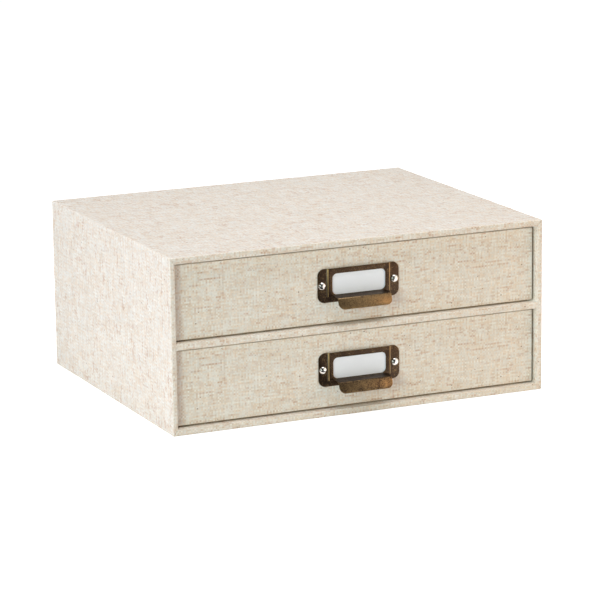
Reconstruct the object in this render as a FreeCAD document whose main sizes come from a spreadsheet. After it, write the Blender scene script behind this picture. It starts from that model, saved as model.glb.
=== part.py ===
import FreeCAD, Part

import math
import os
import re

import Sketcher

# A low desk box with two drawers for letter and A4 paper, one above the other.
# Every wall is a sheet of greyboard. One linen cloth is wrapped round the case and turned over its front
# edges into the two cells; each drawer is a tray of five boards wrapped in the same cloth and lined with
# paper. A sheet-metal label holder with a turned-out pull is fixed to each drawer by two split pins, and a
# paper card stands in it. Lengths are in millimetres. The frame: X to the right, Y to the back, Z up, with
# the origin on the table under the middle of the case.

VEC = FreeCAD.Vector
OUT = "parts"

# The driving sizes: a name, its value and what it measures.
SIZES = [
    ("case_width", 330.0, "width over the cloth"),
    ("case_depth", 268.0, "depth over the cloth, front edge to back panel"),
    ("case_height", 144.0, "height from the table to the top"),
    ("case_board", 3.0, "greyboard of the case's sides and back"),
    ("floor_board", 4.0, "greyboard of the case's base, shelf and top"),
    ("cloth_thick", 0.6, "linen cloth with its paper backing"),
    ("cloth_turn_in", 15.0, "width of the cloth that is turned over an edge and glued down"),
    ("paper_thick", 0.3, "paper panel under the case"),
    ("panel_inset", 3.0, "bare border round the back and bottom panels"),
    ("front_recess", 6.0, "drawer front behind the front edges of the case"),
    ("side_gap", 2.0, "running gap at each side of a drawer"),
    ("top_gap", 2.0, "running gap over a drawer"),
    ("back_gap", 0.4, "drawer back to cell back when shut"),
    ("seat_gap", 0.2, "drawer underside to cell floor"),
    ("drawer_pad", 1.2, "card panel under a drawer, on which it slides"),
    ("drawer_board", 2.4, "greyboard of a drawer's sides, back and base"),
    ("drawer_front_board", 3.0, "greyboard behind the label holder"),
    ("drawer_lining", 0.5, "paper-faced card inside a drawer"),
    ("holder_width", 72.0, "label holder, end to end"),
    ("holder_height", 27.9, "label holder, top to bottom"),
    ("holder_rise", 0.65, "middle of the holder above the middle of the drawer front"),
    ("metal_thick", 0.7, "sheet metal of the label holder"),
    ("ear_straight", 2.0, "straight edge of an ear between the pocket's wall and its rounded corner"),
    ("pocket_raise", 1.2, "height of the raised pocket, which is the room behind it"),
    ("pocket_slope", 0.8, "sideways run of the pocket's left and right walls"),
    ("pocket_foot", 4.4, "flat border left below the pocket"),
    ("window_side", 3.7, "metal of the pocket's front at each side of the window"),
    ("window_sill", 1.9, "metal of the pocket's front below the window"),
    ("window_head", 4.4, "metal of the pocket's front above the window"),
    ("window_corner", 4.0, "corner radius of the window"),
    ("pull_reach", 10.0, "pull's shelf, from the pocket's face to the bend"),
    ("pull_fall", 1.0, "drop of the pull's shelf along its reach"),
    ("lip_reach", 4.2, "pull's lip, further forward from the bend"),
    ("lip_fall", 8.5, "pull's lip, down from the bend"),
    ("lip_corner", 5.0, "corner radius of the lip's lower corners"),
    ("bend_radius", 0.6, "inside radius of the bends in the metal"),
    ("card_thick", 0.35, "label card"),
    ("card_clearance", 0.15, "card to the metal around it"),
    ("card_drop", 0.5, "top edge of the card below the top of the holder"),
    ("pin_head_width", 7.0, "domed head across"),
    ("pin_head_rise", 2.3, "height of the domed head"),
    ("head_clearance", 0.45, "ear left flat at each side of the head"),
    ("pin_hole", 3.2, "hole for a pin's legs, across"),
    ("leg_width", 2.4, "width of a pin's leg"),
    ("leg_thick", 0.45, "thickness of a pin's leg"),
    ("leg_length", 11.0, "leg from the hole to its tip, folded flat inside the drawer"),
]

# Shares and overruns that belong to no one piece.
ROUND_SHARE = 2.5      # radius of a wrapped edge as a multiple of the cloth's thickness
CUTTER_SHARE = 4.0     # how far a cutter runs past a face, as a multiple of the cloth's thickness

# Planes and sizes worked out from the driving sizes. Half widths are measured from the middle plane, places
# along Y and Z from the origin, and heights that start with tray from a cell's floor.
WORKED = [
    ("edge_round", f"{ROUND_SHARE} * cloth_thick"),
    ("overrun", f"{CUTTER_SHARE} * cloth_thick"),
    # the case across
    ("wrap_half", "case_width / 2"),
    ("board_half", "wrap_half - cloth_thick"),
    ("inner_half", "board_half - case_board"),
    ("cell_half", "inner_half - cloth_thick"),
    # the case front to back
    ("case_front", "-case_depth / 2"),
    ("case_back", "case_depth / 2"),
    ("wrap_back", "case_back - cloth_thick"),
    ("board_front", "case_front + cloth_thick"),
    ("board_back", "wrap_back - cloth_thick"),
    ("inner_back", "board_back - case_board"),
    ("cell_back", "inner_back - cloth_thick"),
    ("turn_end", "case_front + cloth_turn_in"),
    # the case upwards
    ("base_low", "paper_thick + cloth_thick"),
    ("base_high", "base_low + floor_board"),
    ("lower_floor", "base_high + cloth_thick"),
    ("top_high", "case_height - cloth_thick"),
    ("top_low", "top_high - floor_board"),
    ("upper_ceiling", "top_low - cloth_thick"),
    ("shelf_total", "floor_board + 2 * cloth_thick"),
    ("cell_height", "(upper_ceiling - lower_floor - shelf_total) / 2"),
    ("lower_ceiling", "lower_floor + cell_height"),
    ("shelf_low", "lower_ceiling + cloth_thick"),
    ("shelf_high", "shelf_low + floor_board"),
    ("upper_floor", "shelf_high + cloth_thick"),
    # a drawer across
    ("tray_half", "cell_half - side_gap"),
    ("tray_board_half", "tray_half - cloth_thick"),
    ("tray_inner_half", "tray_board_half - drawer_board"),
    ("tray_lined_half", "tray_inner_half - drawer_lining"),
    # a drawer front to back
    ("tray_front", "case_front + front_recess"),
    ("tray_board_front", "tray_front + cloth_thick"),
    ("tray_inner_front", "tray_board_front + drawer_front_board"),
    ("tray_lined_front", "tray_inner_front + drawer_lining"),
    ("tray_back", "cell_back - back_gap"),
    ("tray_board_back", "tray_back - cloth_thick"),
    ("tray_inner_back", "tray_board_back - drawer_board"),
    ("tray_lined_back", "tray_inner_back - drawer_lining"),
    # a drawer upwards from its cell's floor
    ("tray_cloth_low", "seat_gap + drawer_pad"),
    ("tray_board_low", "tray_cloth_low + cloth_thick"),
    ("tray_base_high", "tray_board_low + drawer_board"),
    ("tray_lined_low", "tray_base_high + drawer_lining"),
    ("tray_top", "cell_height - top_gap"),
    ("tray_board_top", "tray_top - cloth_thick"),
    ("tray_turn_low", "tray_top - cloth_turn_in"),
    ("holder_level", "(tray_cloth_low + tray_top) / 2 + holder_rise"),
    # the label holder, from its middle on the cloth, forward and up
    ("holder_half", "holder_width / 2"),
    ("holder_top", "holder_height / 2"),
    ("ear_width", "pin_head_width + 2 * head_clearance"),
    ("holder_corner", "ear_width - ear_straight"),
    ("pocket_low", "pocket_foot - holder_top"),
    ("pocket_seat", "pocket_low + metal_thick"),
    ("pocket_face", "metal_thick + pocket_raise"),
    ("pocket_root", "holder_half - ear_width"),
    ("pocket_half", "pocket_root - pocket_slope"),
    ("card_half", "pocket_half - metal_thick - card_clearance"),
    ("card_top", "holder_top - card_drop"),
    ("card_front", "pocket_raise - card_clearance"),
    ("window_low", "pocket_low + window_sill"),
    ("window_high", "holder_top - window_head"),
    ("pull_half", "pocket_half - window_side"),
    ("bend_front", "pocket_face + pull_reach"),
    ("bend_level", "window_low - pull_fall"),
    ("lip_front", "bend_front + lip_reach"),
    ("lip_level", "bend_level - lip_fall"),
    # a split pin, in the middle of its ear
    ("pin_half", "holder_half - ear_width / 2"),
    ("head_radius", "pin_head_width / 2"),
    ("head_ball", "(head_radius ^ 2 + pin_head_rise ^ 2) / (2 * pin_head_rise)"),
]

doc = FreeCAD.newDocument("drawer_box")
SHEET_OF = {}


def fill_sheet(sheet, rows):
    """One row for each name: the name, its value or formula under an alias, and a note."""
    for line, (alias, content, note) in enumerate(rows, start=1):
        sheet.set(f"A{line}", alias)
        sheet.set(f"B{line}", content)
        sheet.setAlias(f"B{line}", alias)
        sheet.set(f"C{line}", note)
        SHEET_OF[alias] = sheet.Name


def bound(text):
    """The expression with its sheet written before each name of a size."""
    return re.sub(r"[a-z_]+", lambda word: SHEET_OF.get(word.group(), "") + "." + word.group(), text)


sizes = doc.addObject("Spreadsheet::Sheet", "Sizes")
fill_sheet(sizes, [(alias, str(value), note) for alias, value, note in SIZES])
worked = doc.addObject("Spreadsheet::Sheet", "Worked")
for alias, formula in WORKED:
    SHEET_OF[alias] = worked.Name
fill_sheet(worked, [(alias, "=" + bound(formula), "worked out") for alias, formula in WORKED])
doc.recompute()

NODES = []


def node(piece, label):
    """Marks a finished sub-part and gives it the name of its file."""
    piece.Label = label
    NODES.append(piece)
    return piece


def place(piece, x="0", y="0", z="0"):
    """Ties the place of a piece to three expressions."""
    for axis, text in zip("xyz", (x, y, z)):
        piece.setExpression("Placement.Base." + axis, bound(text))


def both(half):
    """A pair of planes, the same distance each side of the middle."""
    return f"-({half})", half


def block(name, x, y, z, kind="Part::Box", body=None):
    """A box between three pairs of planes, each plane an expression."""
    box = body.newObject(kind, name) if body else doc.addObject(kind, name)
    for (low, high), side in zip((x, y, z), ("Length", "Width", "Height")):
        box.setExpression(side, bound(f"({high}) - ({low})"))
    place(box, x[0], y[0], z[0])
    return box


def cut(name, base, *tools):
    """The base with every tool taken out of it."""
    tool = tools[0]
    if len(tools) > 1:
        tool = doc.addObject("Part::MultiFuse", name + "_spaces")
        tool.Shapes = list(tools)
    piece = doc.addObject("Part::Cut", name)
    piece.Base = base
    piece.Tool = tool
    return piece


def edges_where(feature, test):
    """The names of the edges of a feature whose middle and direction pass a test."""
    doc.recompute()
    names = []
    for number, edge in enumerate(feature.Shape.Edges, start=1):
        middle = edge.valueAt((edge.FirstParameter + edge.LastParameter) / 2)
        run = edge.lastVertex().Point - edge.firstVertex().Point
        if test(middle, run):
            names.append(f"Edge{number}")
    return names


def soften(body, feature, radius, test=None):
    """Rounds the edges of a feature that pass the test, or all of them."""
    fillet = body.newObject("PartDesign::Fillet", feature.Name + "_round")
    if test is None:
        fillet.Base = (feature, ["Edge1"])
        fillet.UseAllEdges = True
    else:
        fillet.Base = (feature, edges_where(feature, test))
    fillet.setExpression("Radius", bound(radius))
    body.Tip = fillet
    doc.recompute()
    return fillet


def soft_block(name, x, y, z, test=None):
    """A box of cloth-wrapped board: its outer edges rounded as cloth goes round a corner."""
    body = doc.addObject("PartDesign::Body", name)
    box = block(name + "_box", x, y, z, "PartDesign::AdditiveBox", body)
    soften(body, box, "edge_round", test)
    return body


def runs_along(run, axis):
    """Whether an edge runs along one axis, given as 0, 1 or 2."""
    return abs(run[axis]) > run.Length / 2


# The case: five walls and a shelf of greyboard.

DEPTH_OF_BOARDS = ("board_front", "board_back")
walls = [
    block("left_wall", ("-board_half", "-inner_half"), DEPTH_OF_BOARDS, ("base_high", "top_low")),
    block("right_wall", ("inner_half", "board_half"), DEPTH_OF_BOARDS, ("base_high", "top_low")),
    block("top_wall", both("board_half"), DEPTH_OF_BOARDS, ("top_low", "top_high")),
    block("base_wall", both("board_half"), DEPTH_OF_BOARDS, ("base_low", "base_high")),
    block("back_wall", both("inner_half"), ("inner_back", "board_back"), ("base_high", "top_low")),
]
shelf = block("shelf", both("inner_half"), ("board_front", "inner_back"), ("shelf_low", "shelf_high"))
for wall, label in zip(walls, ("left", "right", "top", "base", "back")):
    node(wall, f"case_{label}_board")
node(shelf, "shelf_board")

# The cloth of the case goes round all its outside edges. At the front it covers the board edges and is
# turned into the cells; underneath and behind it ends in a border, which a glued panel covers.

wrap = soft_block("wrap", both("wrap_half"), ("case_front", "wrap_back"), ("paper_thick", "case_height"))
behind_turn = block("behind_turn", both("inner_half"), ("turn_end", "inner_back"), ("base_high", "top_low"))
front_mouth = block("front_mouth", both("cell_half"), ("case_front - overrun", "turn_end"),
                    ("lower_floor", "upper_ceiling"))
base_border = block("base_border", both("wrap_half - cloth_turn_in"),
                    ("case_front + cloth_turn_in", "wrap_back - cloth_turn_in"),
                    ("paper_thick - overrun", "base_low"))
back_border = block("back_border", both("wrap_half - cloth_turn_in"), ("board_back", "wrap_back + overrun"),
                    ("paper_thick + cloth_turn_in", "case_height - cloth_turn_in"))
node(cut("case_wrap", wrap, *walls, shelf, behind_turn, front_mouth, base_border, back_border),
     "case_wrap_cloth")
node(block("case_back_panel", both("wrap_half - panel_inset"), ("wrap_back", "case_back"),
           ("paper_thick + panel_inset", "case_height - panel_inset")), "case_back_cloth")
node(block("case_base_panel", both("wrap_half - panel_inset"),
           ("case_front + panel_inset", "wrap_back - panel_inset"), ("0", "paper_thick")),
     "case_base_paper")

# The shelf's own cloth covers its front edge and is turned in above and below.

shelf_front = soft_block("shelf_front", both("cell_half"), ("case_front", "turn_end"),
                         ("lower_ceiling", "upper_floor"),
                         lambda middle, run: runs_along(run, 0) and middle.y < worked.board_front)
node(cut("shelf_wrap", shelf_front, shelf), "shelf_cloth")

# Each cell is lined behind the turned-in cloth, flush with it, so that a drawer runs on one level.

LEVELS = ("lower", "upper")
for level in LEVELS:
    floor, ceiling = level + "_floor", level + "_ceiling"
    sleeve = block(level + "_cell_sleeve", both("inner_half"), ("turn_end", "inner_back"),
                   (floor + " - cloth_thick", ceiling + " + cloth_thick"))
    space = block(level + "_cell_space", both("cell_half"), ("turn_end - overrun", "cell_back"),
                  (floor, ceiling))
    node(cut(level + "_cell", sleeve, space), level + "_cell_lining")


# The drawers.

def make_pin_holes(level, middle):
    """Two round holes through a drawer front, where the legs of the split pins go."""
    holes = []
    for side, name in (("-", "left"), ("", "right")):
        hole = doc.addObject("Part::Cylinder", f"{level}_{name}_pin_hole")
        hole.Placement.Rotation = FreeCAD.Rotation(VEC(1, 0, 0), 90)
        hole.setExpression("Radius", bound("pin_hole / 2"))
        hole.setExpression("Height", bound("tray_lined_front - tray_front + 2 * overrun"))
        place(hole, side + "pin_half", "tray_lined_front + overrun", middle)
        holes.append(hole)
    return holes


def make_tray(level, floor, holes):
    """The five boards of a drawer, its cloth, its lining and the paper under it."""
    bottom, base = f"{floor} + tray_board_low", f"{floor} + tray_base_high"
    rim, turn, top = (f"{floor} + {name}" for name in ("tray_board_top", "tray_turn_low", "tray_top"))
    wide, full_depth = both("tray_board_half"), ("tray_board_front", "tray_board_back")
    inner_depth = ("tray_inner_front", "tray_inner_back")

    high = (base, rim)
    front = block(level + "_front_wall", wide, ("tray_board_front", "tray_inner_front"), high)
    boards = {
        "left": block(level + "_left_wall", ("-tray_board_half", "-tray_inner_half"), inner_depth, high),
        "right": block(level + "_right_wall", ("tray_inner_half", "tray_board_half"), inner_depth, high),
        "back": block(level + "_back_wall", wide, ("tray_inner_back", "tray_board_back"), high),
        "base": block(level + "_base", wide, full_depth, (bottom, base)),
    }
    node(cut(level + "_front", front, *holes), level + "_drawer_front_board")
    for name, board in boards.items():
        node(board, f"{level}_drawer_{name}_board")

    skin = soft_block(level + "_skin", both("tray_half"), ("tray_front", "tray_back"),
                      (f"{floor} + tray_cloth_low", top))
    hollow = block(level + "_hollow", both("tray_inner_half"), inner_depth, (base, turn))
    mouth = block(level + "_mouth", both("tray_inner_half - cloth_thick"),
                  ("tray_inner_front + cloth_thick", "tray_inner_back - cloth_thick"),
                  (base, top + " + overrun"))
    border = block(level + "_border", both("tray_half - cloth_turn_in"),
                   ("tray_front + cloth_turn_in", "tray_back - cloth_turn_in"),
                   (f"{floor} + tray_cloth_low - overrun", bottom))
    node(cut(level + "_cover", skin, front, *boards.values(), *holes, hollow, mouth, border),
         level + "_drawer_cloth")

    liner = block(level + "_liner_box", both("tray_inner_half"), inner_depth, (base, turn))
    room = block(level + "_room", both("tray_lined_half"), ("tray_lined_front", "tray_lined_back"),
                 (f"{floor} + tray_lined_low", turn + " + overrun"))
    node(cut(level + "_liner", liner, room, *holes), level + "_drawer_lining")
    node(block(level + "_base_panel", both("tray_half - panel_inset"),
               ("tray_front + panel_inset", "tray_back - panel_inset"),
               (f"{floor} + seat_gap", f"{floor} + tray_cloth_low")), level + "_drawer_base_paper")


def outline(body, name, plane, corners, offset="0"):
    """A closed sketch of straight lines whose corners are held by pairs of expressions."""
    planes = {feature.Role: feature for feature in body.Origin.OriginFeatures}
    sketch = body.newObject("Sketcher::SketchObject", name)
    sketch.AttachmentSupport = [(planes[plane], "")]
    sketch.MapMode = "FlatFace"
    sketch.setExpression("AttachmentOffset.Base.z", bound(offset))
    count = len(corners)
    turns = [2 * math.pi * share / count for share in range(count)]
    ring = [VEC(math.cos(turn), math.sin(turn), 0) for turn in turns]
    for number in range(count):
        sketch.addGeometry(Part.LineSegment(ring[number], ring[(number + 1) % count]), False)
    for number in range(count):
        sketch.addConstraint(Sketcher.Constraint("Coincident", number, 2, (number + 1) % count, 1))
    for number, corner in enumerate(corners):
        start = ring[number]
        for kind, away, text in zip(("DistanceX", "DistanceY"), (start.x, start.y), corner):
            index = sketch.addConstraint(Sketcher.Constraint(kind, -1, 1, number, 1, away))
            sketch.setExpression(f"Constraints[{index}]", bound(text))
    return sketch


def rectangle(body, name, plane, across, up, offset="0"):
    """A sketched rectangle between two pairs of planes."""
    (left, right), (low, high) = across, up
    return outline(body, name, plane, [(left, low), (right, low), (right, high), (left, high)], offset)


def grow(body, kind, sketch, length, symmetric=False, reverse=False):
    """A pad or a pocket of a sketch, checked to have changed the solid."""
    before = body.Tip.Shape.Volume if body.Tip else 0
    feature = body.newObject("PartDesign::" + kind, sketch.Name + "_" + kind.lower())
    feature.Profile = sketch
    feature.SideType = "Symmetric" if symmetric else "One side"
    feature.Reversed = reverse
    feature.setExpression("Length", bound(length))
    body.Tip = feature
    doc.recompute()
    if math.isclose(before, feature.Shape.Volume):
        raise RuntimeError(f"{feature.Name} changed nothing")
    return feature


def make_plate(level, middle):
    """The label holder's plate: a raised pocket with a window, and a hole in each ear."""
    body = doc.addObject("PartDesign::Body", level + "_plate")
    plate = grow(body, "Pad", rectangle(body, level + "_plate_outline", "XZ_Plane", both("holder_half"),
                                        both("holder_top")), "metal_thick")
    soften(body, plate, "holder_corner", lambda spot, run: runs_along(run, 1))
    raised = outline(body, level + "_raised", "XY_Plane",
                     [("-pocket_root", "-metal_thick / 2"), ("pocket_root", "-metal_thick / 2"),
                      ("pocket_root", "-metal_thick"), ("pocket_half", "-pocket_face"),
                      ("-pocket_half", "-pocket_face"), ("-pocket_root", "-metal_thick")], "pocket_low")
    grow(body, "Pad", raised, "holder_top - pocket_low")
    pocket = outline(body, level + "_pocket", "XY_Plane",
                     [("-pocket_root + metal_thick", "overrun"), ("pocket_root - metal_thick", "overrun"),
                      ("pocket_root - metal_thick", "0"), ("pocket_half - metal_thick", "-pocket_raise"),
                      ("-pocket_half + metal_thick", "-pocket_raise"), ("-pocket_root + metal_thick", "0")],
                     "pocket_seat")
    grow(body, "Pocket", pocket, "holder_top - pocket_seat + overrun", reverse=True)
    window = grow(body, "Pocket", rectangle(body, level + "_window", "XZ_Plane", both("pull_half"),
                                            ("window_low", "window_high")),
                  "pocket_face + overrun", reverse=True)
    soften(body, window, "window_corner",
           lambda spot, run: runs_along(run, 1)
           and abs(abs(spot.x) - worked.pull_half) < sizes.metal_thick / 2)
    for side, name in (("-", "left"), ("", "right")):
        hole = body.newObject("PartDesign::SubtractiveCylinder", f"{level}_{name}_holder_hole")
        hole.Placement.Rotation = FreeCAD.Rotation(VEC(1, 0, 0), 90)
        hole.setExpression("Radius", bound("pin_hole / 2"))
        hole.setExpression("Height", bound("metal_thick + 2 * overrun"))
        place(hole, side + "pin_half", "overrun")
        body.Tip = hole
    place(body, y="tray_front", z=middle)
    return body


def make_pull(level, middle):
    """The pull: a shelf from the foot of the window and a lip bent down from it, its lower corners round."""
    strip = doc.addObject("PartDesign::Body", level + "_pull_strip")
    inside = "-pocket_raise - metal_thick / 2"
    bent = grow(strip, "Pad",
                outline(strip, level + "_pull_side", "YZ_Plane",
                        [(inside, "window_low"), ("-bend_front", "bend_level"), ("-lip_front", "lip_level"),
                         ("-lip_front + metal_thick", "lip_level"),
                         ("-bend_front + metal_thick", "bend_level - metal_thick"),
                         (inside, "window_low - metal_thick")]), "2 * pull_half", symmetric=True)
    bent = soften(strip, bent, "bend_radius + metal_thick",
                  lambda spot, run: runs_along(run, 0)
                  and abs(spot.y + worked.bend_front) < sizes.metal_thick / 2
                  and abs(spot.z - worked.bend_level) < sizes.metal_thick / 2)
    soften(strip, bent, "bend_radius",
           lambda spot, run: runs_along(run, 0)
           and abs(spot.y + worked.bend_front - sizes.metal_thick) < sizes.metal_thick / 2
           and abs(spot.z - worked.bend_level + sizes.metal_thick) < sizes.metal_thick / 2)
    face = doc.addObject("PartDesign::Body", level + "_pull_face")
    front = grow(face, "Pad", rectangle(face, level + "_pull_outline", "XZ_Plane", both("pull_half"),
                                        ("lip_level", "window_low + overrun")), "lip_front + overrun")
    soften(face, front, "lip_corner",
           lambda spot, run: runs_along(run, 1) and spot.z < worked.bend_level)
    for body in (strip, face):
        place(body, y="tray_front", z=middle)
    pull = doc.addObject("Part::Common", level + "_pull")
    pull.Base = strip
    pull.Tool = face
    return pull


def make_holder(level, middle):
    """The label holder: one piece of sheet metal, its pull the metal turned out of its window."""
    holder = doc.addObject("Part::MultiFuse", level + "_holder")
    holder.Shapes = [make_plate(level, middle), make_pull(level, middle)]
    return node(holder, level + "_label_holder")


def make_card(level, middle):
    """The paper card that stands in the pocket behind the window."""
    body = doc.addObject("PartDesign::Body", level + "_card")
    shape = rectangle(body, level + "_card_outline", "XZ_Plane", both("card_half"),
                      ("pocket_seat + card_clearance", "card_top"))
    grow(body, "Pad", shape, "card_thick")
    place(body, y="tray_front - card_front + card_thick", z=middle)
    return node(body, level + "_label_card")


def make_pins(level, middle):
    """Two split pins: a domed head on the metal, legs through the front, folded apart on the lining."""
    pins = []
    for side, name in (("-", "left"), ("", "right")):
        across = side + "pin_half"
        head = doc.addObject("Part::Sphere", f"{level}_{name}_head")
        head.Placement.Rotation = FreeCAD.Rotation(VEC(1, 0, 0), 90)
        head.setExpression("Radius", bound("head_ball"))
        head.setExpression("Angle1", f"asin(1 - {bound('pin_head_rise')} / {bound('head_ball')})")
        place(head, across, "tray_front - metal_thick + head_ball - pin_head_rise", middle)
        shank = block(f"{level}_{name}_shank", (f"{across} - leg_thick", f"{across} + leg_thick"),
                      ("tray_front - metal_thick - pin_head_rise / 2", "tray_lined_front + leg_thick"),
                      (f"{middle} - leg_width / 2", f"{middle} + leg_width / 2"))
        legs = block(f"{level}_{name}_legs", (f"{across} - leg_length", f"{across} + leg_length"),
                     ("tray_lined_front", "tray_lined_front + leg_thick"),
                     (f"{middle} - leg_width / 2", f"{middle} + leg_width / 2"))
        pin = doc.addObject("Part::MultiFuse", f"{level}_{name}_pin")
        pin.Shapes = [head, shank, legs]
        pins.append(pin)
    pair = doc.addObject("Part::Compound", level + "_pins")
    pair.Links = pins
    return node(pair, level + "_label_pins")


for level in LEVELS:
    floor = level + "_floor"
    middle = floor + " + holder_level"
    make_tray(level, floor, make_pin_holes(level, middle))
    make_holder(level, middle)
    make_card(level, middle)
    make_pins(level, middle)

doc.recompute()

# Every object of the document has to be sound before anything is written.
for item in doc.Objects:
    if "Invalid" in item.State or "Error" in item.State:
        raise RuntimeError(f"{item.Name} is {item.State}")
for piece in NODES:
    if piece.Shape.isNull() or not piece.Shape.isValid() or not piece.Shape.Solids:
        raise RuntimeError(f"{piece.Label} has no sound shape")

os.makedirs(OUT, exist_ok=True)
for piece in NODES:
    piece.Shape.exportStep(os.path.join(OUT, piece.Label + ".step"))
    box = piece.Shape.BoundBox
    print(f"{piece.Label:26s} {len(piece.Shape.Solids)} solid(s) {piece.Shape.Volume:10.1f} mm3  "
          f"x {box.XMin:7.2f} {box.XMax:7.2f}  y {box.YMin:7.2f} {box.YMax:7.2f}  "
          f"z {box.ZMin:6.2f} {box.ZMax:6.2f}")
print(len(NODES), "nodes")
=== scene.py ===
# %% [markdown]
# # A desk box with two drawers, wrapped in linen cloth
# The box is greyboard: five walls and a shelf. One linen cloth goes round it and is turned over the front
# edges. Two shallow drawers slide in it. Each has a stamped brass label holder, whose window is turned out
# into a pull, two nickel split pins that hold it, and a white card behind the window. The CAD model gives
# every place and size. This lesson dresses it: the soft pieces are modelled again as thin sheets with
# folds, the metal gets its bends, and each surface gets a finish made of nodes.

# %% Load the frame
import math

import bmesh
import bpy
from mathutils import Matrix, Vector


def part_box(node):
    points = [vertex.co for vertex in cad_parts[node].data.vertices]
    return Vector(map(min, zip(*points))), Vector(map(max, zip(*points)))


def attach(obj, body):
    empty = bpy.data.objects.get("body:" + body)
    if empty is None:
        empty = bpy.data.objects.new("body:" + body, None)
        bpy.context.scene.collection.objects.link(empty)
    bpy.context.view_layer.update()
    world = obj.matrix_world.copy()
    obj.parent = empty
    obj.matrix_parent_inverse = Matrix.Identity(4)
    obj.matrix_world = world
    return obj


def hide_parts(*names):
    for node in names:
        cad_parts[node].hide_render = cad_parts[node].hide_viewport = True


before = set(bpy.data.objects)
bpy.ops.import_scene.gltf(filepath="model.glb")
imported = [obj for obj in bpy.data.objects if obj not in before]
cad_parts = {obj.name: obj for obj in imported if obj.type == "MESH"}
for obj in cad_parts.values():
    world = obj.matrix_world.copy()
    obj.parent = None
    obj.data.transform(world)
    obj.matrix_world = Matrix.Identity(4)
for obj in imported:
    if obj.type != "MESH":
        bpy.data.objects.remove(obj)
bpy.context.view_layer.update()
MM = 0.001

# %% [markdown]
# ## Tools for the bench
# Modelling by hand means: select something, then use an operator on it. Without a window the selecting is
# done in code, by the place or the facing of a face, an edge or a point. Places are written in millimetres,
# as on the drawing of the box, and turned into metres only where Blender takes them.

# %% Selecting and editing


def lay_down_tools():
    """Leaves edit mode and deselects everything."""
    if bpy.context.object and bpy.context.object.mode == "EDIT":
        bpy.ops.object.mode_set(mode="OBJECT")
    bpy.ops.object.select_all(action="DESELECT")


def take_up(piece):
    """Makes one piece the only one that operators act on."""
    lay_down_tools()
    piece.select_set(True)
    bpy.context.view_layer.objects.active = piece


def open_mesh(piece):
    """Goes into edit mode on a piece with nothing selected."""
    take_up(piece)
    bpy.ops.object.mode_set(mode="EDIT")
    bpy.ops.mesh.select_all(action="DESELECT")


def at(item):
    """The middle of a point, an edge or a face, in millimetres."""
    points = [item.co] if isinstance(item, bmesh.types.BMVert) else [corner.co for corner in item.verts]
    return sum(points, Vector()) / len(points) / MM


def pick(piece, kind, test):
    """Selects the points, edges or faces that pass a test, in edit mode, and gives their number."""
    bpy.ops.mesh.select_all(action="DESELECT")
    bpy.ops.mesh.select_mode(type=kind)
    mesh = bmesh.from_edit_mesh(piece.data)
    mesh.normal_update()
    items = {"VERT": mesh.verts, "EDGE": mesh.edges, "FACE": mesh.faces}[kind]
    chosen = [item for item in items if test(item)]
    for item in chosen:
        item.select_set(True)
    mesh.select_flush_mode()
    bmesh.update_edit_mesh(piece.data)
    return len(chosen)


def move(x=0.0, y=0.0, z=0.0):
    """Moves what is selected, in millimetres."""
    bpy.ops.transform.translate(value=(x * MM, y * MM, z * MM))


def draw_out(x=0.0, y=0.0, z=0.0):
    """Extrudes what is selected and moves the new end, in millimetres."""
    bpy.ops.mesh.extrude_region_move(TRANSFORM_OT_translate={"value": (x * MM, y * MM, z * MM)})


def stretch(x=1.0, y=1.0, z=1.0, centre=(0, 0, 0)):
    """Scales what is selected about a centre in millimetres."""
    bpy.ops.transform.resize(value=(x, y, z), center_override=[c * MM for c in centre])


def soften(radius, segments, affect="EDGES"):
    """Rounds the selected edges or corners, the radius in millimetres."""
    bpy.ops.mesh.bevel(offset=radius * MM, segments=segments, affect=affect, profile=0.5)


def rule(axis, places):
    """Cuts a loop of edges right across the mesh at each place along an axis."""
    for place in places:
        bpy.ops.mesh.select_all(action="SELECT")
        point, facing = [0.0, 0.0, 0.0], [0.0, 0.0, 0.0]
        point[axis], facing[axis] = place * MM, 1.0
        bpy.ops.mesh.bisect(plane_co=point, plane_no=facing)


def between(low, high, step):
    """Evenly spaced places between two limits, about a step apart and clear of both."""
    count = max(1, round((high - low) / step))
    return [low + (high - low) * share / count for share in range(1, count)]


def alter(piece, kind, **settings):
    """Adds a modifier, sets it and applies it."""
    take_up(piece)
    change = piece.modifiers.new(kind.lower(), kind)
    for name, value in settings.items():
        setattr(change, name, value)
    bpy.ops.object.modifier_apply(modifier=change.name)


def thicken(piece, thickness):
    """Gives a sheet its thickness in millimetres, towards its inner side."""
    alter(piece, "SOLIDIFY", thickness=thickness * MM, offset=-1.0, use_even_offset=True)


def settle(name):
    """Names the piece just made, and puts its place, turn and size into its mesh."""
    piece = bpy.context.object
    bpy.ops.object.transform_apply(location=True, rotation=True, scale=True)
    piece.name = piece.data.name = name
    return piece


def start_block(name, low, high):
    """A cube primitive between two corners in millimetres."""
    lay_down_tools()
    low, high = Vector(low), Vector(high)
    bpy.ops.mesh.primitive_cube_add(size=1, location=(low + high) / 2 * MM, scale=(high - low) * MM)
    return settle(name)


def corners_of(node):
    """The lowest and highest corner of a CAD node, in millimetres."""
    return [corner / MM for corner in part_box(node)]


print("tools ready")

# %% [markdown]
# ## Cloth as a sheet
# Bookbinder's cloth is a thin sheet that keeps its thickness everywhere, so each cover is modelled as the
# outside surface of the cloth alone: a block whose openings are cut out, with rounded edges where cloth
# goes round board. A grid of cuts lets the surface ripple a little, as cloth glued by hand does. Then
# Solidify gives it thickness towards the board. A UV map in true size, one unit to the metre, lets the
# threads run straight on every face.

# %% Cloth sheets
CLOTH_THICK, TURN_IN = 0.6, 15.0
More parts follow.
